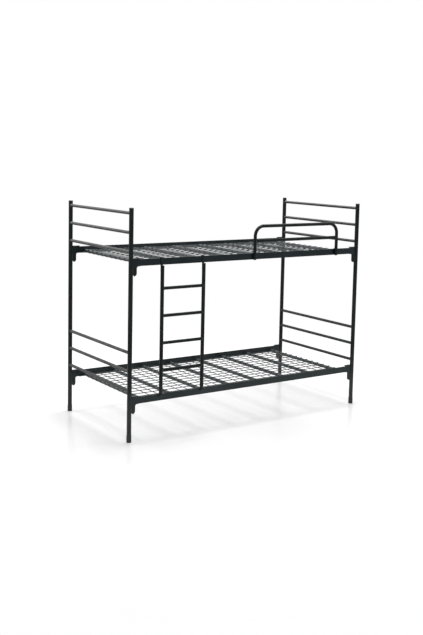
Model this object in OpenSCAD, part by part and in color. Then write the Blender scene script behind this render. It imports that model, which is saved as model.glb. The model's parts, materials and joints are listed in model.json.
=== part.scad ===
// Bunk bed of round steel tube with a hook-on ladder and a hook-on guard rail.
// Two welded end frames carry two wire mesh bases on tapered corner hooks.
// Millimetres. X runs along the bed, -Y is the ladder side, Z is up from the floor.
// The origin lies on the floor under the centre of the outline box.

/* [End frames] */
// Distance between the post axes along the bed
span_x = 2000; // [1900:10:2100]
// Distance between the post axes across the bed
span_y = 900; // [880:10:960]
// Height of the end frames with their caps
frame_h = 1576; // [1570:1:1700]
// Outer diameter of the posts
post_d = 31; // [28:0.5:32]
// Wall thickness of the posts
post_wall = 1.5; // [1:0.25:2.5]
// Outer diameter of the rungs of the end frames
rung_d = 22; // [18:0.5:24]
// Height of the lowest end rung over the underside of a base
rung_rise = 94; // [80:1:98]
// Pitch of the three end rungs over each base
rung_pitch = 128.6; // [110:0.2:130]

/* [Bases] */
// Height of the underside of the lower base
base_z = 257.5; // [230:0.5:300]
// Distance from the lower base up to the upper one
base_rise = 932; // [900:0.5:940]
// Distance of the outside of a side rail over the line of the post axes
rail_out = 4; // [2:0.5:8]
// Height of the side rail angle
rail_h = 46; // [42:1:50]
// Width of the flange of the side rail angle
rail_w = 25; // [20:1:40]
// Steel thickness of the side rail angle
rail_t = 4; // [3:0.5:5]
// Distance from a post axis to the end of a side rail
rail_inset = 70; // [66:1:80]
// Diameter of the cross bars
bar_d = 22; // [16:0.5:25]
// Pitch of the cross bars
bar_pitch = 252; // [235:1:254]
// Diameter of the long wires
wire_d = 5.5; // [3:0.25:6]
// Pitch of the long wires
wire_pitch = 67.3; // [55:0.1:68]
// Diameter of the thin cross wires
cross_wire_d = 5; // [2:0.25:5]
// Distance between the two thin cross wires of a bay
cross_wire_gap = 65; // [40:1:90]

/* [Corner hooks] */
// Depth of the hook tips below the underside of the base
tip_drop = 67; // [64:1:80]
// Depth of the lower rims of the sockets below the base
rim_drop = 60; // [50:1:63]
// Depth of the shoulders that rest on the sockets
shoulder_drop = 12; // [12:0.5:16]
// Reach of the sockets from the post axis
socket_reach = 45.4; // [42:0.1:46]
// Sheet thickness of the sockets
socket_t = 2; // [1.5:0.25:2.5]
// Thickness of the hook tongues
tongue_t = 8; // [6:0.5:9]
// Slope of the back edge of the tongues, in degrees
tongue_taper = 8; // [4:0.5:10]
// Radius of the lower corners of sockets and tongues
corner_r = 18; // [8:1:19]

/* [Ladder] */
// Position of the left stile from the middle of the bed
ladder_x = -766.5; // [-790:0.5:-700]
// Distance between the two stile axes
ladder_w = 334; // [300:0.5:420]
// Outer diameter of the stiles
stile_d = 26; // [23:0.5:28]
// Outer diameter of the ladder rungs
step_d = 22; // [18:0.5:22.5]
// Height of the lowest ladder rung
step_z = 470.5; // [440:0.5:500]
// Pitch of the four ladder rungs
step_pitch = 187; // [170:0.2:200]
// Height of the feet of the ladder
ladder_foot_z = 287; // [280:1:295]

/* [Guard rail] */
// Position of the left upright from the middle of the bed
guard_x = 6; // [-60:1:20]
// Distance between the two upright axes
guard_w = 772; // [700:1:790]
// Outer diameter of the bent tube
guard_d = 24; // [20:0.5:25]
// Height of the axis of the top bar over the underside of the base
guard_rise = 239.5; // [225:0.5:260]
// Height of the axis of the middle bar over the underside of the base
guard_mid_rise = 133.5; // [115:0.5:140]
// Outer diameter of the middle bar
guard_mid_d = 18.5; // [15:0.5:19]
// Bend radius of the tube axis
guard_bend = 72; // [55:1:85]

/* [Hidden] */
$fn = 48;

// Gaps between separate bodies and in plugged fits
body_gap = 0.5;
plug_gap = 0.1;

// Tube walls of the lighter tubes
light_wall = 1.5;

// End frame values
post_r = post_d / 2;
rung_r = rung_d / 2;
post_x = span_x / 2;
post_y = span_y / 2;
cap_t = 4;
cap_rim = 1;
cap_plug = 16;
foot_t = 4;
foot_wall = 1.5;
foot_h = 48;

// Side rails run close to the line of the post axes
rail_face = post_y + rail_out;
rail_root = 4;
rail_half = post_x - rail_inset;

// Ladder and guard rail stand in front of the side rails
stile_r = stile_d / 2;
step_r = step_d / 2;
guard_r = guard_d / 2;
ladder_y = -(rail_face + body_gap + stile_r);
guard_y = -(rail_face + body_gap + guard_r);
front_edge = max(-ladder_y + stile_r, -guard_y + guard_r);
rear_edge = post_y + post_r + foot_wall;

// Centres the outline box of the whole bed on the origin
y_shift = (front_edge - rear_edge) / 2;

// Heights of the two bases and of the lowest rungs over them
base_heights = [base_z, base_z + base_rise];
upper_base_z = base_z + base_rise;

// Mesh values, heights over the underside of the base
bar_rows = 8;
bar_z = bar_d / 2;
bar_half = rail_face - rail_w;
wire_rows = 12;
wire_under = bar_z + bar_d / 2;
wire_z = wire_under + wire_d / 2;
wire_over = 14;
wire_half = bar_pitch * (bar_rows - 1) / 2 + wire_over;
cross_wire_z = wire_under - cross_wire_d / 2;
cross_wire_over = 6;
cross_wire_half = wire_pitch * (wire_rows - 1) / 2 + cross_wire_over;
loop_gap = 0.05;
loop_t = 1.8;
loop_w = 6;

// Corner hook values, measured inwards from the post axis
slot_gap = 0.4;
tongue_r = tongue_t / 2;
pocket_r = tongue_r + slot_gap;
socket_r = pocket_r + socket_t;
nose_u = socket_reach - socket_r;
corner_over = 0.6;
hook_back_u = post_r + 1.5;
fillet_r = shoulder_drop - 2;
shoulder_u = 46;
head_top = rail_h + 7;
head_t = 6;
lip_t = 3;
lip_w = 18;
lap_len = 40;
lap_t = 5;
lap_root = 8;
lap_gap = 4;
tall = 160;

// Hanging strap values
strap_w = 16;
strap_t = 4;
strap_leg = 28;
strap_root = 45;
guard_strap_w = 12;
guard_strap_leg = 22;

// Ladder and guard rail end plugs
foot_bevel = 3;
foot_plug = 18;
plug_rim = 4;
stile_foot_z = ladder_foot_z + plug_rim + foot_bevel;
stile_top_z = upper_base_z - 4;
guard_foot_z = upper_base_z - 2.5;
steps = 4;

// ---- shared shapes ----

// Ring that is extruded into a tube
module ring(r, wall) {
  difference() {
    circle(r);
    circle(r - wall);
  }
}

// Open tube standing on z = 0
module tube(r, wall, h) {
  linear_extrude(h) ring(r, wall);
}

// Solid rod along X, centred on the origin
module rod_x(d, half) {
  rotate([0, 90, 0]) cylinder(d = d, h = 2 * half, center = true);
}

// Solid rod along Y, centred on the origin
module rod_y(d, half) {
  rotate([90, 0, 0]) cylinder(d = d, h = 2 * half, center = true);
}

// Places the children at the four post axes, local +X inwards and local +Y outwards
module corners() {
  for (sx = [-1, 1])
    for (sy = [-1, 1])
      translate([sx * post_x, sy * post_y + y_shift, 0])
        mirror([sx > 0 ? 1 : 0, 0, 0])
          mirror([0, sy < 0 ? 1 : 0, 0])
            children();
}

// ---- end frames ----

// Tubular post standing in its ferrule, closed by its cap
module post(sx, sy) {
  translate([sx * post_x, sy * post_y + y_shift, foot_t])
    tube(post_r, post_wall, frame_h - cap_t - foot_t);
}

// Three rungs over one base, their ends coped to the round of the posts
module rungs(sx, base) {
  for (i = [0:2])
    translate([sx * post_x, y_shift, base + rung_rise + i * rung_pitch])
      difference() {
        translate([0, post_y, 0])
          rotate([90, 0, 0])
            tube(rung_r, light_wall, span_y);
        for (sy = [-1, 1])
          translate([0, sy * post_y, -rung_d])
            cylinder(r = post_r, h = 2 * rung_d);
      }
}

// Plugged caps on the post tops
module post_caps() {
  plug_r = post_r - post_wall - plug_gap;
  rim_r = post_r + cap_rim;
  corners()
    translate([0, 0, frame_h])
      rotate_extrude()
        polygon([[0, 0], [rim_r - 2, 0], [rim_r, -1.6], [rim_r, -cap_t],
                 [plug_r, -cap_t], [plug_r, -cap_plug], [plug_r - 2, -cap_plug - 2],
                 [0, -cap_plug - 2]]);
}

// Ferrules the posts stand in
module post_feet() {
  out_r = post_r + foot_wall;
  corners()
    rotate_extrude()
      polygon([[0, 0], [out_r - 1.5, 0], [out_r, 1.5], [out_r, foot_h - 1],
               [out_r - 1, foot_h], [post_r + plug_gap / 2, foot_h],
               [post_r + plug_gap / 2, foot_t], [0, foot_t]]);
}

// ---- corner sockets and hooks, heights over the underside of the base ----

// Upright slot-shaped bar with a round nose away from the post
module slot_bar(r, low, high) {
  translate([0, 0, low])
    linear_extrude(high - low)
      union() {
        translate([nose_u, 0])
          circle(r);
        translate([0, -r])
          square([nose_u, 2 * r]);
      }
}

// Side outline with a round lower corner; it runs just past the nose and cuts it at an angle
module corner_outline(nose, drop) {
  reach = nose + corner_over;
  translate([0, tall / 2, 0])
    rotate([90, 0, 0])
      linear_extrude(tall)
        union() {
          translate([0, corner_r - drop])
            square([reach, tall]);
          translate([0, -drop])
            square([reach - corner_r, tall]);
          translate([reach - corner_r, corner_r - drop])
            circle(corner_r);
        }
}

// Sheet pocket on the inside of a post, open above and below
module socket() {
  difference() {
    intersection() {
      slot_bar(socket_r, -rim_drop, -shoulder_drop - body_gap);
      corner_outline(nose_u + socket_r, rim_drop);
    }
    slot_bar(pocket_r, -rim_drop - 1, 0);
    translate([0, 0, -rim_drop - 1])
      cylinder(r = post_r, h = rim_drop);
  }
}

module sockets(base) {
  corners()
    translate([0, 0, base])
      socket();
}

// Tongue with a round lower corner; its back edge slopes away from the post
module tongue() {
  intersection() {
    slot_bar(tongue_r, -tip_drop, head_top - 1);
    corner_outline(nose_u + tongue_r, tip_drop);
    translate([hook_back_u, -tall / 2, -shoulder_drop])
      rotate([0, -tongue_taper, 0])
        translate([0, 0, -tall])
          cube([tall, tall, 2 * tall]);
    translate([hook_back_u, -tall / 2, -tip_drop])
      cube([tall, tall, tall]);
  }
}

// Face plate whose lower edge sweeps up from the shoulder in a round fillet
module head_plate() {
  translate([0, rail_out, 0])
    rotate([90, 0, 0])
      linear_extrude(head_t)
        difference() {
          translate([hook_back_u, -shoulder_drop])
            square([rail_inset - hook_back_u, head_top + shoulder_drop]);
          translate([shoulder_u + fillet_r, -shoulder_drop])
            circle(fillet_r);
          translate([shoulder_u + fillet_r, -shoulder_drop - 1])
            square([rail_inset, fillet_r + 1]);
        }
}

// Hook of one corner: tongue, face plate, top lip and the lap behind the rail
module corner_hook() {
  tongue();
  head_plate();
  translate([hook_back_u, rail_out - lip_w, head_top - lip_t])
    cube([rail_inset - hook_back_u, lip_w, lip_t]);
  translate([rail_inset - lap_root, rail_out - rail_t - lap_t, rail_t + lap_gap])
    cube([lap_len + lap_root, lap_t, rail_h - rail_t - 2 * lap_gap]);
}

module corner_hooks(base) {
  corners()
    translate([0, 0, base])
      corner_hook();
}

// ---- bases ----

// Angle section: web outside, flange inwards, rolled fillet at the root
module rail_section() {
  square([rail_w, rail_t]);
  square([rail_t, rail_h]);
  translate([rail_t, rail_t])
    difference() {
      square(rail_root);
      translate([rail_root, rail_root])
        circle(rail_root);
    }
}

module side_rail(sy, base) {
  translate([0, y_shift, base])
    mirror([0, sy > 0 ? 1 : 0, 0])
      translate([-rail_half, -rail_face, 0])
        rotate([90, 0, 90])
          linear_extrude(2 * rail_half)
            rail_section();
}

// Round bars between the rail flanges
module cross_bars(base) {
  for (i = [0:bar_rows - 1])
    translate([(i - (bar_rows - 1) / 2) * bar_pitch, y_shift, base + bar_z])
      rod_y(bar_d, bar_half);
}

// Long wires on top of the bars
module long_wires(base) {
  for (j = [0:wire_rows - 1])
    translate([0, (j - (wire_rows - 1) / 2) * wire_pitch + y_shift, base + wire_z])
      rod_x(wire_d, wire_half);
}

// Two thin cross wires under the long wires in every bay
module cross_wires(base) {
  for (i = [0:bar_rows - 2])
    for (s = [-1, 1])
      translate([(i - (bar_rows - 2) / 2) * bar_pitch + s * cross_wire_gap / 2,
                 y_shift, base + cross_wire_z])
        rod_y(cross_wire_d, cross_wire_half);
}

// U-shaped clip that passes under a bar and rises to the long wire
module wire_loop() {
  in_r = bar_d / 2 + loop_gap;
  out_r = in_r + loop_t;
  rotate([90, 0, 0])
    linear_extrude(loop_w, center = true)
      difference() {
        union() {
          circle(out_r);
          translate([-out_r, 0])
            square([2 * out_r, bar_d / 2]);
        }
        circle(in_r);
        translate([-in_r, 0])
          square([2 * in_r, bar_d]);
      }
}

module wire_loops(base) {
  for (i = [0:bar_rows - 1])
    for (j = [0:wire_rows - 1])
      translate([(i - (bar_rows - 1) / 2) * bar_pitch,
                 (j - (wire_rows - 1) / 2) * wire_pitch + y_shift, base + bar_z])
        wire_loop();
}

// ---- ladder ----

// Flat strap of width w over the top edge of the rail; its front leg reaches down to z = low
module hanging_strap(w, low, leg) {
  out_y = -(rail_face + body_gap + strap_t);
  in_y = -(rail_face - rail_t - body_gap - strap_t);
  top_z = upper_base_z + rail_h + body_gap;
  translate([-w / 2, y_shift, 0])
    rotate([90, 0, 90])
      linear_extrude(w)
        polygon([[out_y, low], [out_y, top_z + strap_t], [in_y, top_z + strap_t],
                 [in_y, top_z - leg], [in_y - strap_t, top_z - leg],
                 [in_y - strap_t, top_z], [out_y + strap_t, top_z], [out_y + strap_t, low]]);
}

// Stile with a notch at its back for the strap
module ladder_stile(k) {
  translate([ladder_x + k * ladder_w, 0, 0])
    difference() {
      translate([0, ladder_y + y_shift, stile_foot_z])
        tube(stile_r, light_wall, stile_top_z - stile_foot_z);
      hanging_strap(strap_w, stile_top_z - strap_root, strap_leg);
    }
}

module ladder_hooks() {
  for (k = [0, 1])
    translate([ladder_x + k * ladder_w, 0, 0])
      hanging_strap(strap_w, stile_top_z - strap_root, strap_leg);
}

// Rungs coped to the round of the stiles
module ladder_rungs() {
  for (i = [0:steps - 1])
    translate([ladder_x, ladder_y + y_shift, step_z + i * step_pitch])
      difference() {
        rotate([0, 90, 0])
          tube(step_r, light_wall, ladder_w);
        for (k = [0, 1])
          translate([k * ladder_w, 0, -step_d])
            cylinder(r = stile_r, h = 2 * step_d);
      }
}

// Plug with a bevelled rim for the lower end of a tube of radius r
module end_plug(r) {
  rotate_extrude()
    polygon([[0, 0], [r - foot_bevel, 0], [r, foot_bevel], [r, foot_bevel + plug_rim],
             [r - light_wall - plug_gap, foot_bevel + plug_rim],
             [r - light_wall - plug_gap, foot_plug], [0, foot_plug]]);
}

module ladder_feet() {
  for (k = [0, 1])
    translate([ladder_x + k * ladder_w, ladder_y + y_shift, ladder_foot_z])
      end_plug(stile_r);
}

// ---- guard rail ----

// Quarter bend of the guard tube, from +X to +Z about the local origin
module guard_bend_tube() {
  rotate([90, 0, 0])
    rotate_extrude(angle = 90)
      translate([guard_bend, 0])
        ring(guard_r, light_wall);
}

// One tube bent into an upside-down U
module guard_hoop() {
  low = guard_foot_z + foot_bevel + plug_rim;
  bend_z = upper_base_z + guard_rise - guard_bend;
  translate([guard_x, guard_y + y_shift, 0]) {
    for (k = [0, 1])
      translate([k * guard_w, 0, low])
        tube(guard_r, light_wall, bend_z - low);
    translate([guard_bend, 0, bend_z])
      mirror([1, 0, 0])
        guard_bend_tube();
    translate([guard_w - guard_bend, 0, bend_z])
      guard_bend_tube();
    translate([guard_bend, 0, bend_z + guard_bend])
      rotate([0, 90, 0])
        tube(guard_r, light_wall, guard_w - 2 * guard_bend);
  }
}

module guard_middle_bar() {
  translate([guard_x, guard_y + y_shift, upper_base_z + guard_mid_rise])
    difference() {
      rotate([0, 90, 0])
        tube(guard_mid_d / 2, light_wall, guard_w);
      for (k = [0, 1])
        translate([k * guard_w, 0, -guard_d])
          cylinder(r = guard_r, h = 2 * guard_d);
    }
}

// Hooks over the top edge of the rail, coped to the backs of the uprights
module guard_hooks() {
  root_z = upper_base_z + rail_h + body_gap;
  for (k = [0, 1])
    translate([guard_x + k * guard_w, 0, 0])
      difference() {
        hanging_strap(guard_strap_w, root_z, guard_strap_leg);
        translate([0, guard_y + y_shift, root_z - 1])
          cylinder(r = guard_r, h = strap_t + 2);
      }
}

module guard_plugs() {
  for (k = [0, 1])
    translate([guard_x + k * guard_w, guard_y + y_shift, guard_foot_z])
      end_plug(guard_r);
}

// ---- the parts, one line per node ----

coat = [0.15, 0.18, 0.18];
coat_low = [0.22, 0.26, 0.26];
zinc = [0.55, 0.57, 0.56];
cap_black = [0.10, 0.12, 0.13];

color(coat) post(-1, -1);  // post_front_left
color(coat) post(1, -1);  // post_front_right
color(coat) post(-1, 1);  // post_rear_left
color(coat) post(1, 1);  // post_rear_right
color(coat) rungs(-1, base_heights[1]);  // upper_rungs_left
color(coat) rungs(1, base_heights[1]);  // upper_rungs_right
color(coat) rungs(-1, base_heights[0]);  // lower_rungs_left
color(coat) rungs(1, base_heights[0]);  // lower_rungs_right
color(cap_black) post_caps();
color(cap_black) post_feet();
color(coat) sockets(base_heights[1]);  // upper_sockets
color(coat) sockets(base_heights[0]);  // lower_sockets
color(coat_low) side_rail(-1, base_heights[0]);  // lower_front_rail
color(coat_low) side_rail(1, base_heights[0]);  // lower_rear_rail
color(coat_low) corner_hooks(base_heights[0]);  // lower_corner_hooks
color(coat_low) cross_bars(base_heights[0]);  // lower_cross_bars
color(zinc) long_wires(base_heights[0]);  // lower_long_wires
color(zinc) cross_wires(base_heights[0]);  // lower_cross_wires
color(zinc) wire_loops(base_heights[0]);  // lower_wire_loops
color(coat_low) side_rail(-1, base_heights[1]);  // upper_front_rail
color(coat_low) side_rail(1, base_heights[1]);  // upper_rear_rail
color(coat_low) corner_hooks(base_heights[1]);  // upper_corner_hooks
color(coat_low) cross_bars(base_heights[1]);  // upper_cross_bars
color(zinc) long_wires(base_heights[1]);  // upper_long_wires
color(zinc) cross_wires(base_heights[1]);  // upper_cross_wires
color(zinc) wire_loops(base_heights[1]);  // upper_wire_loops
color(coat) ladder_stile(0);  // ladder_stile_left
color(coat) ladder_stile(1);  // ladder_stile_right
color(coat) ladder_rungs();
color(coat) ladder_hooks();
color(cap_black) ladder_feet();
color(coat) guard_hoop();
color(coat) guard_middle_bar();
color(coat) guard_hooks();
color(cap_black) guard_plugs();
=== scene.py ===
import bpy
import json
import math
import numpy as np
from mathutils import Matrix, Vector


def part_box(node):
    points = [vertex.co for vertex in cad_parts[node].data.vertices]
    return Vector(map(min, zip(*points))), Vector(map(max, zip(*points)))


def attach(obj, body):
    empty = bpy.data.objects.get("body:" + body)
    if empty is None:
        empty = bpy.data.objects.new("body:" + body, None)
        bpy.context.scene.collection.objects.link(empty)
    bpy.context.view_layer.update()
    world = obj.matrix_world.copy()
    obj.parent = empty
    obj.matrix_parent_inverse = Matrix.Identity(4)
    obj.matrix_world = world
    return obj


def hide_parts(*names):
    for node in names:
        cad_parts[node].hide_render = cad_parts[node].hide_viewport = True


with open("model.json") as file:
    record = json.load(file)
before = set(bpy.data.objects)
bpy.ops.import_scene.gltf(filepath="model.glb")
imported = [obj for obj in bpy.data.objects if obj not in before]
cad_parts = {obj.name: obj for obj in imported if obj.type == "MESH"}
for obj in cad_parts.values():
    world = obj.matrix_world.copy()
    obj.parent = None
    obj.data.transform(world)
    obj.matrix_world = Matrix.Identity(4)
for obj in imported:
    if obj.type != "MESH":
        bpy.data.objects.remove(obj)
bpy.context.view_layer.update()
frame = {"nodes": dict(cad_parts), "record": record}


nodes = frame["nodes"]
print("stage: frame loaded, nodes", len(nodes))


# a shader socket that can be added, subtracted and multiplied like a number
class Field:
    def __init__(self, book, socket):
        self.book = book
        self.socket = socket

    def calc(self, operation, first, second):
        return self.book.put("ShaderNodeMath", {"operation": operation}, {0: first, 1: second})

    def __add__(self, other):
        return self.calc("ADD", self, other)

    def __radd__(self, other):
        return self.calc("ADD", other, self)

    def __sub__(self, other):
        return self.calc("SUBTRACT", self, other)

    def __rsub__(self, other):
        return self.calc("SUBTRACT", other, self)

    def __mul__(self, other):
        return self.calc("MULTIPLY", self, other)

    def __rmul__(self, other):
        return self.calc("MULTIPLY", other, self)

    def larger(self, other):
        return self.calc("MAXIMUM", self, other)

    # smooth step from 0 at low to 1 at high
    def ramp(self, low, high):
        return self.book.put("ShaderNodeMapRange", {"interpolation_type": "SMOOTHSTEP"},
                             {"Value": self, "From Min": low, "From Max": high}, "Result")


# one material, or the world where holder is given: every node goes in through put()
class Book:
    def __init__(self, name, holder=None):
        self.material = holder or bpy.data.materials.new(name)
        self.material.use_nodes = True
        self.tree = self.material.node_tree
        self.tree.nodes.clear()
        self.spot = self.put("ShaderNodeTexCoord", {}, {}, "Object")

    def put(self, kind, settings, values, output=0):
        made = self.tree.nodes.new(kind)
        for key, value in settings.items():
            setattr(made, key, value)
        for key, value in values.items():
            if isinstance(value, Field):
                self.tree.links.new(value.socket, made.inputs[key])
            else:
                made.inputs[key].default_value = value
        return Field(self, made.outputs[output] if made.outputs else None)

    def noise(self, scale, detail=3.0, roughness=0.5, stretch=(1, 1, 1)):
        where = self.put("ShaderNodeVectorMath", {"operation": "MULTIPLY"}, {0: self.spot, 1: stretch})
        return self.put("ShaderNodeTexNoise", {}, {"Vector": where, "Scale": scale, "Detail": detail,
                                                   "Roughness": roughness}, "Fac")

    def blend(self, factor, first, second):
        return self.put("ShaderNodeMix", {"data_type": "RGBA"}, {0: factor, 6: first, 7: second}, 2)

    def bump(self, height, distance, strength):
        return self.put("ShaderNodeBump", {}, {"Height": height, "Distance": distance, "Strength": strength},
                        "Normal")

    def finish(self, values):
        shader = self.put("ShaderNodeBsdfPrincipled", {}, values, "BSDF")
        self.put("ShaderNodeOutputMaterial", {}, {"Surface": shader})
        return self.material


def rgb(red, green, blue):
    return (red, green, blue, 1.0)


# metres above the floor between which the pale dust and painted top highlight grow and the painted floor
# bounce fades
heights = {"dustAndHighlightLow": 0.9, "dustAndHighlightHigh": 1.5, "floorBounceLow": 0.12, "floorBounceHigh": 0.5}


# painted steel: dark coat with fine orange peel, slow tone drift, pale dust and a painted top highlight
# where the surface looks up, more of both higher on the bed, and a painted floor bounce near the ground
def coatMaterial(name, look):
    book = Book(name)
    drift = book.noise(look["driftScale"], 3.0, 0.55)
    cloud = book.noise(look["cloudScale"], 5.0, 0.6)
    peel = book.noise(look["peelScale"], 2.0, 0.5)
    normal = book.put("ShaderNodeNewGeometry", {}, {}, "Normal")
    facing = book.put("ShaderNodeSeparateXYZ", {}, {"Vector": normal}, "Z")
    height = book.put("ShaderNodeSeparateXYZ", {}, {"Vector": book.spot}, "Z")
    # pale dust mixed with a painted top highlight: paler where the surface looks up, more of it higher up
    settledAndLit = facing.ramp(look["dustAndHighlightFrom"], look["dustAndHighlightTo"]) * cloud.ramp(look["patchFrom"], look["patchTo"])
    higher = height.ramp(heights["dustAndHighlightLow"], heights["dustAndHighlightHigh"])
    dustAndHighlight = settledAndLit * (higher * look["dustAndHighlightRise"] + 1) * look["dustAndHighlight"]
    # painted floor bounce: a paler tone on the parts near the ground that stands in for light off the floor
    floorBounce = (1 - height.ramp(heights["floorBounceLow"], heights["floorBounceHigh"])) * (drift * 0.6 + 0.7) * look["floorBounce"]
    base = book.blend(drift.ramp(0.3, 0.7), look["dark"], look["light"])
    bounceLit = book.blend(floorBounce, base, look["dustAndPaintedLightColour"])
    return book.finish({
        "Base Color": book.blend(dustAndHighlight, bounceLit, look["dustAndPaintedLightColour"]),
        "Roughness": (cloud - 0.5) * look["roughSpread"] + dustAndHighlight * 0.25 + look["rough"],
        "Specular IOR Level": look["gloss"],
        "Normal": book.bump(peel, look["peelDepth"], 0.5),
    })


# moulded plastic: matte grain and small scuffs drawn out along the height
def plasticMaterial(name, look):
    book = Book(name)
    grain = book.noise(look["grainScale"], 2.0, 0.5)
    worn = book.noise(look["scuffScale"], 6.0, 0.65, (1, 1, 0.3)).ramp(0.55, 0.72)
    return book.finish({
        "Base Color": book.blend(worn * look["wear"], look["dark"], look["light"]),
        "Roughness": worn * 0.12 + (grain - 0.5) * 0.1 + look["rough"],
        "Normal": book.bump(grain, look["grainDepth"], 0.4),
    })


# what the coats share; each look below gives only what differs
# the looks below set pale dust together with a painted top highlight, and a painted floor bounce near the
# ground
coat = {"dustAndPaintedLightColour": rgb(0.10, 0.11, 0.11), "dustAndHighlight": 0.45, "dustAndHighlightRise": 1.0, "dustAndHighlightFrom": 0.35, "dustAndHighlightTo": 1.0,
        "patchFrom": 0.1, "patchTo": 0.9, "floorBounce": 0.30, "rough": 0.34, "roughSpread": 0.14, "gloss": 0.12,
        "driftScale": 6.0, "cloudScale": 40.0, "peelScale": 900.0, "peelDepth": 0.0002}
baseCoat = {**coat, "dustAndPaintedLightColour": rgb(0.10, 0.115, 0.115), "rough": 0.36, "roughSpread": 0.16, "gloss": 0.15,
            "driftScale": 4.0, "cloudScale": 35.0, "peelScale": 800.0, "peelDepth": 0.00025}
looks = {
    "frame_coat": {**coat, "dark": rgb(0.0065, 0.0095, 0.0095), "light": rgb(0.012, 0.016, 0.016),
                   "floorBounce": 0.33, "driftScale": 5.0},
    "tube_coat": {**coat, "dark": rgb(0.003, 0.006, 0.0055), "light": rgb(0.007, 0.011, 0.0105),
                  "floorBounce": 0.25, "cloudScale": 45.0, "peelScale": 950.0},
    # end rungs: the pale top is a painted highlight, much stronger higher up, with little dust
    "rung_coat": {**coat, "dark": rgb(0.008, 0.010, 0.0098), "light": rgb(0.014, 0.016, 0.0155),
                  "dustAndPaintedLightColour": rgb(0.17, 0.172, 0.168), "dustAndHighlight": 0.12, "floorBounce": 0.0, "dustAndHighlightRise": 7.8,
                  "dustAndHighlightFrom": -0.1, "dustAndHighlightTo": 0.8, "patchFrom": 0.15, "patchTo": 0.5},
    "base_coat": {**baseCoat, "dark": rgb(0.006, 0.013, 0.0155), "light": rgb(0.012, 0.021, 0.024)},
    # upper rear rail: a paler copy of the base coat, a painted reflection on its inner face
    "rail_coat": {**baseCoat, "dark": rgb(0.018, 0.025, 0.028), "light": rgb(0.030, 0.038, 0.041)},
    # cross bars: the pale upper half is a painted highlight from the top light, with some dust
    "bar_coat": {**baseCoat, "dark": rgb(0.006, 0.013, 0.0155), "light": rgb(0.012, 0.021, 0.024),
                 "dustAndPaintedLightColour": rgb(0.16, 0.178, 0.185), "dustAndHighlight": 0.33, "dustAndHighlightRise": 4.0,
                 "dustAndHighlightFrom": -0.1, "dustAndHighlightTo": 0.8, "patchFrom": 0.2, "patchTo": 0.6},
    # mesh wires: the pale upper faces are a painted highlight, much stronger on the upper base, with some
    # dust
    "mesh_wire": {**coat, "dark": rgb(0.007, 0.010, 0.010), "light": rgb(0.016, 0.020, 0.020),
                  "dustAndPaintedLightColour": rgb(0.19, 0.205, 0.215), "dustAndHighlight": 0.3, "floorBounce": 0.0, "dustAndHighlightRise": 8.0,
                  "dustAndHighlightFrom": 0.1, "patchFrom": 0.35, "patchTo": 0.6, "rough": 0.40, "roughSpread": 0.16,
                  "gloss": 0.25, "driftScale": 14.0, "cloudScale": 60.0, "peelScale": 1200.0,
                  "peelDepth": 0.00015},
    "cap_plastic": {"dark": rgb(0.010, 0.012, 0.013), "light": rgb(0.03, 0.034, 0.036), "wear": 0.4,
                    "rough": 0.5, "grainScale": 1400.0, "grainDepth": 0.0001, "scuffScale": 60.0},
    "foot_plastic": {"dark": rgb(0.010, 0.013, 0.013), "light": rgb(0.04, 0.044, 0.044), "wear": 0.5,
                     "rough": 0.58, "grainScale": 1200.0, "grainDepth": 0.00012, "scuffScale": 45.0},
}
materials = {}
for slotName, look in looks.items():
    maker = plasticMaterial if "wear" in look else coatMaterial
    materials[slotName] = maker("look_" + slotName, look)

# every node takes the look of its slot, apart from these: the end rungs are paler on top, a painted
# highlight, the upper rear rail is paler all over, a painted reflection, and the ladder straps have the coat
# of their rail
slotOf = {entry["node"]: entry["material_slot"] for entry in frame["record"]["subparts"]}
ownLook = {"upper_rear_rail": "rail_coat", "ladder_hooks": "base_coat"}
for rungNode in ("upper_rungs_left", "upper_rungs_right", "lower_rungs_left", "lower_rungs_right"):
    ownLook[rungNode] = "rung_coat"
for nodeName, nodeObject in nodes.items():
    for place in nodeObject.material_slots:
        place.material = materials[ownLook.get(nodeName, slotOf[nodeName])]
print("stage: materials set")


# weld metal under the same coat
weld = {"dark": rgb(0.020, 0.026, 0.026), "light": rgb(0.040, 0.047, 0.046), "toneScale": 120.0,
        "pitScale": 700.0, "pitDepth": 0.0003, "rough": 0.34, "roughSpread": 0.2}


def weldMaterial():
    book = Book("look_weld")
    tone = book.noise(weld["toneScale"], 4.0, 0.6)
    pits = book.noise(weld["pitScale"], 2.0, 0.5)
    return book.finish({
        "Base Color": book.blend(tone.ramp(0.3, 0.7), weld["dark"], weld["light"]),
        "Roughness": tone * weld["roughSpread"] + weld["rough"],
        "Normal": book.bump(pits, weld["pitDepth"], 0.5),
    })


weldLook = weldMaterial()


# tubes of changing radius: ring = path point + radius * (cos * up + sin * side), with side = along x up
def sweep(path, up, radius, sides, closed):
    along = np.roll(path, -1, axis=-2) - np.roll(path, 1, axis=-2) if closed else np.gradient(path, axis=-2)
    along = along / np.linalg.norm(along, axis=-1, keepdims=True)
    up = up - along * np.sum(up * along, axis=-1, keepdims=True)
    up = up / np.linalg.norm(up, axis=-1, keepdims=True)
    turn = np.linspace(0, 2 * math.pi, sides, endpoint=False)[:, None]
    ring = np.cos(turn) * up[..., None, :] + np.sin(turn) * np.cross(along, up)[..., None, :]
    return path[..., None, :] + np.asarray(radius)[..., None, None] * ring


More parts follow.
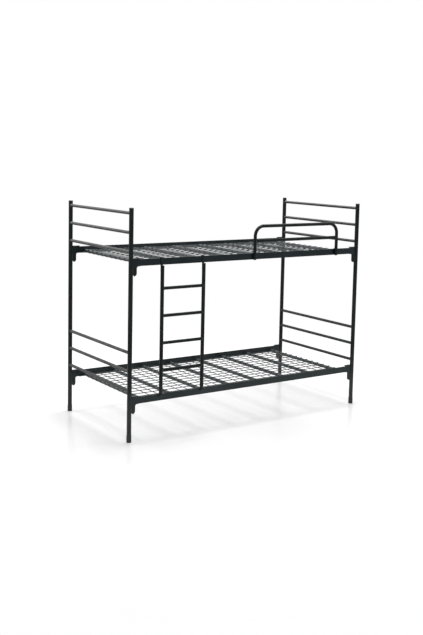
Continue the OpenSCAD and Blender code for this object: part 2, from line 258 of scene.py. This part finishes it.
# one mesh of many swept tubes, point grids (count, rows, columns, 3); open tubes get a face at both ends
def gridPiece(name, grids, look, body, closed):
    count, rows, columns, _ = grids.shape
    i, j = np.meshgrid(np.arange(rows if closed else rows - 1), np.arange(columns), indexing="ij")
    far, side = (i + 1) % rows, (j + 1) % columns
    quads = np.stack([i * columns + j, i * columns + side, far * columns + side, far * columns + j], axis=-1)
    base = (np.arange(count) * rows * columns)[:, None]
    faces = (quads.reshape(1, -1, 4) + base[..., None]).reshape(-1, 4).tolist()
    if not closed:
        faces += (np.arange(columns)[None, ::-1] + base).tolist()
        faces += (np.arange(columns)[None] + (rows - 1) * columns + base).tolist()
    mesh = bpy.data.meshes.new(name)
    mesh.from_pydata(grids.reshape(-1, 3).tolist(), [], faces)
    mesh.polygons.foreach_set("use_smooth", np.ones(len(mesh.polygons), dtype=bool))
    mesh.materials.append(look)
    mesh.update()
    made = bpy.data.objects.new(name, mesh)
    bpy.context.scene.collection.objects.link(made)
    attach(made, body)
    return made


def boxOf(nodeName):
    low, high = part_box(nodeName)
    return np.array(low), np.array(high)


def axisOf(nodeName):
    low, high = boxOf(nodeName)
    return (low + high) / 2


# saddle seam round a bar on a round host: for angle t the point lies barR cos t aside, barR sin t up
# and sqrt(hostR^2 - (barR cos t)^2) out from the host axis; ripples swell the bead
def saddleBeads(name, centres, outward, hostR, barR, body):
    bead = {"radius": 0.0021, "ripples": 22, "ripple": 0.14, "sink": 0.6, "steps": 66, "sides": 8,
            "lift": 0.0002}
    t = np.linspace(0, 2 * math.pi, bead["steps"], endpoint=False)
    outward = np.asarray(outward)[:, None, :]
    upright = np.array([0.0, 0.0, 1.0])
    aside = np.cross(upright, outward)
    ringR = barR + bead["lift"]
    reach = np.sqrt(np.maximum(hostR ** 2 - (barR * np.cos(t)) ** 2, 0.0)) + bead["lift"]
    flat = np.cos(t)[:, None] * aside + np.sin(t)[:, None] * upright
    path = np.asarray(centres)[:, None, :] + reach[:, None] * outward + ringR * flat
    swell = 1 + bead["ripple"] * np.abs(np.sin(bead["ripples"] * t / 2)) - bead["ripple"] * bead["sink"]
    radius = np.broadcast_to(bead["radius"] * swell, path.shape[:2])
    grids = sweep(path, np.broadcast_to(outward + 0 * path, path.shape), radius, bead["sides"], True)
    return gridPiece(name, grids, weldLook, body, True)


# straight rippled bead from start to end, thin at both ends: radius = thickness * sin(pi s)^taper * ripple
def straightBeads(name, starts, ends, outward, thickness, body):
    bead = {"steps": 40, "sides": 8, "ripples": 11, "ripple": 0.16, "taper": 0.3, "least": 0.02}
    s = np.linspace(0.0, 1.0, bead["steps"])
    starts, ends = np.asarray(starts), np.asarray(ends)
    path = starts[:, None, :] + s[None, :, None] * (ends - starts)[:, None, :]
    ripple = 1 + bead["ripple"] * np.abs(np.sin(bead["ripples"] * math.pi * s))
    form = np.maximum(np.sin(math.pi * s), bead["least"]) ** bead["taper"] * ripple
    radius = np.broadcast_to(thickness * form, path.shape[:2])
    up = np.broadcast_to(np.asarray(outward)[:, None, :], path.shape)
    return gridPiece(name, sweep(path, up, radius, bead["sides"], False), weldLook, body, False)


# end rungs on their posts
posts = {side: [axisOf("post_front_" + side), axisOf("post_rear_" + side)] for side in ("left", "right")}
postR = (boxOf("post_front_left")[1][0] - boxOf("post_front_left")[0][0]) / 2
centres, outward = [], []
for rungNode in ("upper_rungs_left", "upper_rungs_right", "lower_rungs_left", "lower_rungs_right"):
    low, high = boxOf(rungNode)
    rungR = (high[0] - low[0]) / 2
    front, rear = posts[rungNode.split("_")[2]]
    for z in np.linspace(low[2] + rungR, high[2] - rungR, 3):
        centres += [[front[0], front[1], z], [rear[0], rear[1], z]]
        outward += [[0, 1, 0], [0, -1, 0]]
saddleBeads("weld_end_rungs", centres, outward, postR, rungR, "end_frames")

# ladder rungs on their stiles
stiles = [axisOf("ladder_stile_left"), axisOf("ladder_stile_right")]
stileR = (boxOf("ladder_stile_left")[1][0] - boxOf("ladder_stile_left")[0][0]) / 2
low, high = boxOf("ladder_rungs")
stepR = (high[1] - low[1]) / 2
centres, outward = [], []
for z in np.linspace(low[2] + stepR, high[2] - stepR, 4):
    centres += [[stiles[0][0], axisOf("ladder_rungs")[1], z], [stiles[1][0], axisOf("ladder_rungs")[1], z]]
    outward += [[1, 0, 0], [-1, 0, 0]]
saddleBeads("weld_ladder_rungs", centres, outward, stileR, stepR, "ladder")

# middle bar of the guard rail, a straight tube of one radius whose ends reach into the uprights
low, high = boxOf("guard_hoop")
hoopR = (high[1] - low[1]) / 2
guardBar = {"radius": 0.012, "raise": 0.0015, "sunk": 0.001, "seamR": 0.0118, "steps": 30, "sides": 36}
barAxis = axisOf("guard_middle_bar") + [0.0, 0.0, guardBar["raise"]]
legs = [low[0] + hoopR, high[0] - hoopR]
x = np.linspace(legs[0] + guardBar["sunk"], legs[1] - guardBar["sunk"], guardBar["steps"])
path = np.stack([x, np.full(x.shape, barAxis[1]), np.full(x.shape, barAxis[2])], axis=-1)[None]
grids = sweep(path, np.broadcast_to([0.0, 0.0, 1.0], path.shape),
              np.full(path.shape[:2], guardBar["radius"]), guardBar["sides"], False)
middleBar = gridPiece("guard_bar_tube", grids, materials["tube_coat"], "guard_rail", False)
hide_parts("guard_middle_bar")
centres = [[leg, barAxis[1], barAxis[2]] for leg in legs]
saddleBeads("weld_guard_bar", centres, [[1, 0, 0], [-1, 0, 0]], hoopR, guardBar["seamR"],
            "guard_rail")
print("stage: round seams welded")

# seams down both cheeks of every socket, where the sheet meets the post
for level in ("upper", "lower"):
    low, high = boxOf(level + "_sockets")
    seam = {"margin": 0.002, "thickness": 0.0016, "lift": 0.0003}
    aside = high[1] - posts["left"][1][1] + seam["lift"]
    inward = math.sqrt(postR ** 2 - aside ** 2) + seam["lift"]
    starts, ends, outward = [], [], []
    for side, inSign in (("left", 1), ("right", -1)):
        for post in posts[side]:
            for cheek in (-1, 1):
                x, y = post[0] + inSign * inward, post[1] + cheek * aside
                starts.append([x, y, low[2] + seam["margin"]])
                ends.append([x, y, high[2] - seam["margin"]])
                outward.append([0, cheek, 0])
    straightBeads("weld_sockets_" + level, starts, ends, outward, seam["thickness"],
                  "end_frames")
print("stage: sockets welded")


# dome over a short shank: at angle t the dome is headH sin t high and headR cos t wide, up to a small flat
# top, and the end of the shank is flat
def domedHeads(name, seats, outward, headR, headH, look, body):
    dome = {"shank": -0.4, "shankWidth": 0.96, "steps": 8, "sides": 20}
    rise = np.sin(np.linspace(0.1, 1.0, dome["steps"]) * math.pi / 2)
    rise = np.concatenate([[dome["shank"], 0.0], rise])
    width = np.cos(np.linspace(0.1, 0.985, dome["steps"]) * math.pi / 2)
    width = np.concatenate([[dome["shankWidth"], 1.0], width])
    outward = np.asarray(outward, dtype=float)[:, None, :]
    path = np.asarray(seats)[:, None, :] + outward * (rise * headH)[None, :, None]
    radius = np.broadcast_to(width * headR, path.shape[:2])
    up = np.broadcast_to(np.array([0.0, 0.0, 1.0]), path.shape)
    return gridPiece(name, sweep(path, up, radius, dome["sides"], False), look, body, False)


# rivets in the face plates of the corner hooks, sleeves of the long wires, cross bars and their seams
for level in ("upper", "lower"):
    body = level + "_base"
    low, high = boxOf(level + "_corner_hooks")
    under = boxOf(level + "_front_rail")[0][2]
    rivet = {"spots": ((0.0265, 0.0375), (0.062, 0.0085)), "radius": 0.0052, "height": 0.0022}
    seats, outward = [], []
    for side, inSign in (("left", 1), ("right", -1)):
        for post, face in zip(posts[side], (low[1], high[1])):
            for inward, rise in rivet["spots"]:
                seats.append([post[0] + inSign * inward, face, under + rise])
                outward.append([0, -1 if face == low[1] else 1, 0])
    domedHeads("rivets_" + level, seats, outward, rivet["radius"], rivet["height"],
               materials["base_coat"], body)

    # ribbed sleeve on every long wire over every bar, s from -1 to 1 along it:
    # radius = wire radius + cover + rib * cos^2(ribs pi s / 2) * (1 - s^4)
    barBox, wireBox = boxOf(level + "_cross_bars"), boxOf(level + "_long_wires")
    sleeve = {"half": 0.0145, "cover": 0.0003, "rib": 0.0007, "ribs": 4, "steps": 13, "sides": 7}
    crossBar = {"radius": 0.0125, "sides": 24, "steps": 20}
    barD = barBox[1][2] - barBox[0][2]
    wireD = wireBox[1][2] - wireBox[0][2]
    barX = np.linspace(barBox[0][0] + barD / 2, barBox[1][0] - barD / 2, 8)
    wireY = np.linspace(wireBox[0][1] + wireD / 2, wireBox[1][1] - wireD / 2, 12)
    gridX, gridY = np.meshgrid(barX, wireY, indexing="ij")
    middle = np.stack([gridX, gridY, np.full(gridX.shape, wireBox[0][2] + wireD / 2)], axis=-1).reshape(-1, 3)
    s = np.linspace(-1.0, 1.0, sleeve["steps"])
    path = middle[:, None, :] + s[None, :, None] * np.array([sleeve["half"], 0.0, 0.0])
    ribs = sleeve["rib"] * np.cos(sleeve["ribs"] * math.pi * s / 2) ** 2 * (1 - s ** 4)
    radius = np.broadcast_to(wireD / 2 + sleeve["cover"] + ribs, path.shape[:2])
    up = np.broadcast_to(np.array([0.0, 0.0, 1.0]), path.shape)
    gridPiece("wire_sleeves_" + level, sweep(path, up, radius, sleeve["sides"], False),
              materials["mesh_wire"], body, False)

    # round bars across the base, straight tubes of one radius that lie on the rail flanges
    barZ = barBox[0][2] + crossBar["radius"]
    y = np.linspace(barBox[0][1], barBox[1][1], crossBar["steps"])
    path = np.stack([np.repeat(barX[:, None], crossBar["steps"], 1), np.repeat(y[None], len(barX), 0),
                     np.full((len(barX), crossBar["steps"]), barZ)], axis=-1)
    up = np.broadcast_to([0.0, 0.0, 1.0], path.shape)
    grids = sweep(path, up, np.full(path.shape[:2], crossBar["radius"]), crossBar["sides"], False)
    bars = gridPiece("cross_bars_" + level, grids, materials["bar_coat"], body, False)
    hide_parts(level + "_cross_bars")

    # seam under the end of every bar at the rail flanges: an arc of the bar's own radius that spans the angle
    # spread to both sides of straight down, thin at both ends, where s runs from -1 to 1 along it
    ends = {"radius": 0.0018, "ripples": 7, "ripple": 0.15, "least": 0.15, "lift": 0.0002, "steps": 24,
            "sides": 6, "spread": 1.1}
    s = np.linspace(-1.0, 1.0, ends["steps"])
    t = ends["spread"] * s
    barEnds = [[x, y, barZ] for x in barX for y in (barBox[0][1], barBox[1][1])]
    arc = np.stack([np.sin(t), 0 * t, -np.cos(t)], axis=-1) * (crossBar["radius"] + ends["lift"])
    path = np.asarray(barEnds)[:, None, :] + arc[None]
    ripple = 1 + ends["ripple"] * np.abs(np.sin(ends["ripples"] * t))
    form = ends["radius"] * np.maximum(1 - s ** 6, ends["least"]) * ripple
    up = np.broadcast_to(np.array([0.0, 1.0, 0.0]), path.shape)
    grids = sweep(path, up, np.broadcast_to(form, path.shape[:2]), ends["sides"], False)
    gridPiece("weld_bar_ends_" + level, grids, weldLook, body, False)
print("stage: rivets, sleeves and bar seams made")

# straps of the ladder on the stiles: a seam down each side of the leg that is welded to the stile
low, high = boxOf("ladder_hooks")
strap = {"margin": 0.002, "sunk": 0.0004, "thickness": 0.0014}
strapHalf = stiles[0][0] - low[0]
starts, ends, outward = [], [], []
for stile in stiles:
    for side in (-1, 1):
        x = stile[0] + side * strapHalf
        y = stile[1] + math.sqrt(stileR ** 2 - strapHalf ** 2) - strap["sunk"]
        starts.append([x, y, low[2] + strap["margin"]])
        ends.append([x, y, boxOf("ladder_stile_left")[1][2] - strap["margin"]])
        outward.append([side, 0, 0])
straightBeads("weld_ladder_straps", starts, ends, outward, strap["thickness"], "ladder")
print("stage: straps welded")


# 1 where a thing is seen by the camera, mirrored or looked at through glass, 0 where it only sheds light
def seenShare(book):
    share = book.put("ShaderNodeLightPath", {}, {}, "Is Camera Ray")
    for kind in ("Is Glossy Ray", "Is Transmission Ray"):
        share = share.larger(book.put("ShaderNodeLightPath", {}, {}, kind))
    return share


# pale, slightly glossy floor that fades out into the white surround; where it is seen, about a third of it is
# plain white, so that the shadow stays soft and the floor sheds no light of its own
floor = {"half": 14.0, "fadeFrom": 1.8, "fadeTo": 4.5, "white": 0.35, "rough": 0.22, "cloudScale": 3.0,
         "dark": rgb(0.88, 0.88, 0.88), "light": rgb(0.90, 0.90, 0.90)}
reach = (-floor["half"], floor["half"])
mesh = bpy.data.meshes.new("floor")
mesh.from_pydata([(x, y, 0.0) for y in reach for x in reach], [], [(0, 1, 3, 2)])
floorObject = bpy.data.objects.new("floor", mesh)
bpy.context.scene.collection.objects.link(floorObject)
book = Book("look_floor")
tint = book.blend(book.noise(floor["cloudScale"], 4.0, 0.55), floor["dark"], floor["light"])
matte = book.put("ShaderNodeBsdfPrincipled", {}, {"Base Color": tint, "Roughness": floor["rough"]}, "BSDF")
white = book.put("ShaderNodeEmission", {}, {"Color": rgb(1, 1, 1), "Strength": 1.0})
lifted = book.put("ShaderNodeMixShader", {}, {0: seenShare(book) * floor["white"], 1: matte, 2: white})
clear = book.put("ShaderNodeBsdfTransparent", {}, {"Color": rgb(1, 1, 1)})
distance = book.put("ShaderNodeVectorMath", {"operation": "LENGTH"}, {0: book.spot}, "Value")
fade = distance.ramp(floor["fadeFrom"], floor["fadeTo"])
under = book.put("ShaderNodeNewGeometry", {}, {}, "Backfacing")    # clear from below, to show the underside
mixed = book.put("ShaderNodeMixShader", {}, {0: fade.larger(under), 1: lifted, 2: clear})
book.put("ShaderNodeOutputMaterial", {}, {"Surface": mixed})
mesh.materials.append(book.material)

# surround: plain white where it is seen or mirrored, dimmer as light
surround = {"light": 0.36, "seen": 1.0}
world = bpy.data.worlds.new("surround")
bpy.context.scene.world = world
world.use_nodes = True
book = Book("surround", world)
dim, bright = (book.put("ShaderNodeBackground", {}, {"Color": rgb(1, 1, 1), "Strength": surround[key]})
               for key in ("light", "seen"))
mixed = book.put("ShaderNodeMixShader", {}, {0: seenShare(book), 1: dim, 2: bright})
book.put("ShaderNodeOutputWorld", {}, {"Surface": mixed})


# soft box that shines towards a point
def softBox(name, box):
    lamp = bpy.data.lights.new(name, "AREA")
    lamp.shape = "RECTANGLE"
    lamp.size, lamp.size_y = box["size"]
    lamp.energy = box["power"]
    made = bpy.data.objects.new(name, lamp)
    bpy.context.scene.collection.objects.link(made)
    back = np.array(box["place"]) - np.array(box["target"])
    back = back / np.linalg.norm(back)
    side = np.cross([0.0, 0.1, 1.0], back)
    side = side / np.linalg.norm(side)
    pose = np.eye(4)
    pose[:3, 0], pose[:3, 1], pose[:3, 2], pose[:3, 3] = side, np.cross(back, side), back, box["place"]
    made.matrix_world = Matrix(pose.tolist())


softBoxes = {
    "light_top": {"place": (0.9, 0.5, 8.0), "target": (0.0, 0.0, 0.0), "size": (3.4, 3.0), "power": 700.0},
    "light_back": {"place": (-5.5, 7.0, 3.4), "target": (-1.0, 0.0, 0.9), "size": (4.0, 3.0), "power": 260.0},
    "light_left": {"place": (-6.5, -1.5, 4.0), "target": (-0.5, 0.0, 0.9), "size": (2.0, 2.0), "power": 15.0},
}
for lampName, box in softBoxes.items():
    softBox(lampName, box)
print("stage: floor and lights set")

# camera: turned left of the long side, looking slightly down; placed from the middle between the posts
view = {"place": (-4.0539, -5.8488, 1.9504), "azimuth": -34.3887, "pitch": 6.1302, "roll": 1.1878,
        "lens": 53.633, "shift": -0.1008}
azimuth, pitch, roll = (math.radians(view[key]) for key in ("azimuth", "pitch", "roll"))
forward = np.array([-math.sin(azimuth) * math.cos(pitch), math.cos(azimuth) * math.cos(pitch),
                    -math.sin(pitch)])
level = np.array([math.cos(azimuth), math.sin(azimuth), 0.0])
raised = np.cross(level, forward)
right = math.cos(roll) * level + math.sin(roll) * raised
above = -math.sin(roll) * level + math.cos(roll) * raised
pose = np.eye(4)
middleY = (posts["left"][0][1] + posts["left"][1][1]) / 2
pose[:3, 0], pose[:3, 1], pose[:3, 2] = right, above, -forward
pose[:3, 3] = np.array(view["place"]) + [0.0, middleY, 0.0]
cameraData = bpy.data.cameras.new("camera")
cameraData.lens = view["lens"]
cameraData.sensor_width = 36.0
cameraData.shift_y = view["shift"]
cameraData.clip_end = 100.0
camera = bpy.data.objects.new("camera", cameraData)
camera.matrix_world = Matrix(pose.tolist())
bpy.context.scene.collection.objects.link(camera)
bpy.context.scene.camera = camera
bpy.context.scene.view_settings.view_transform = "Standard"
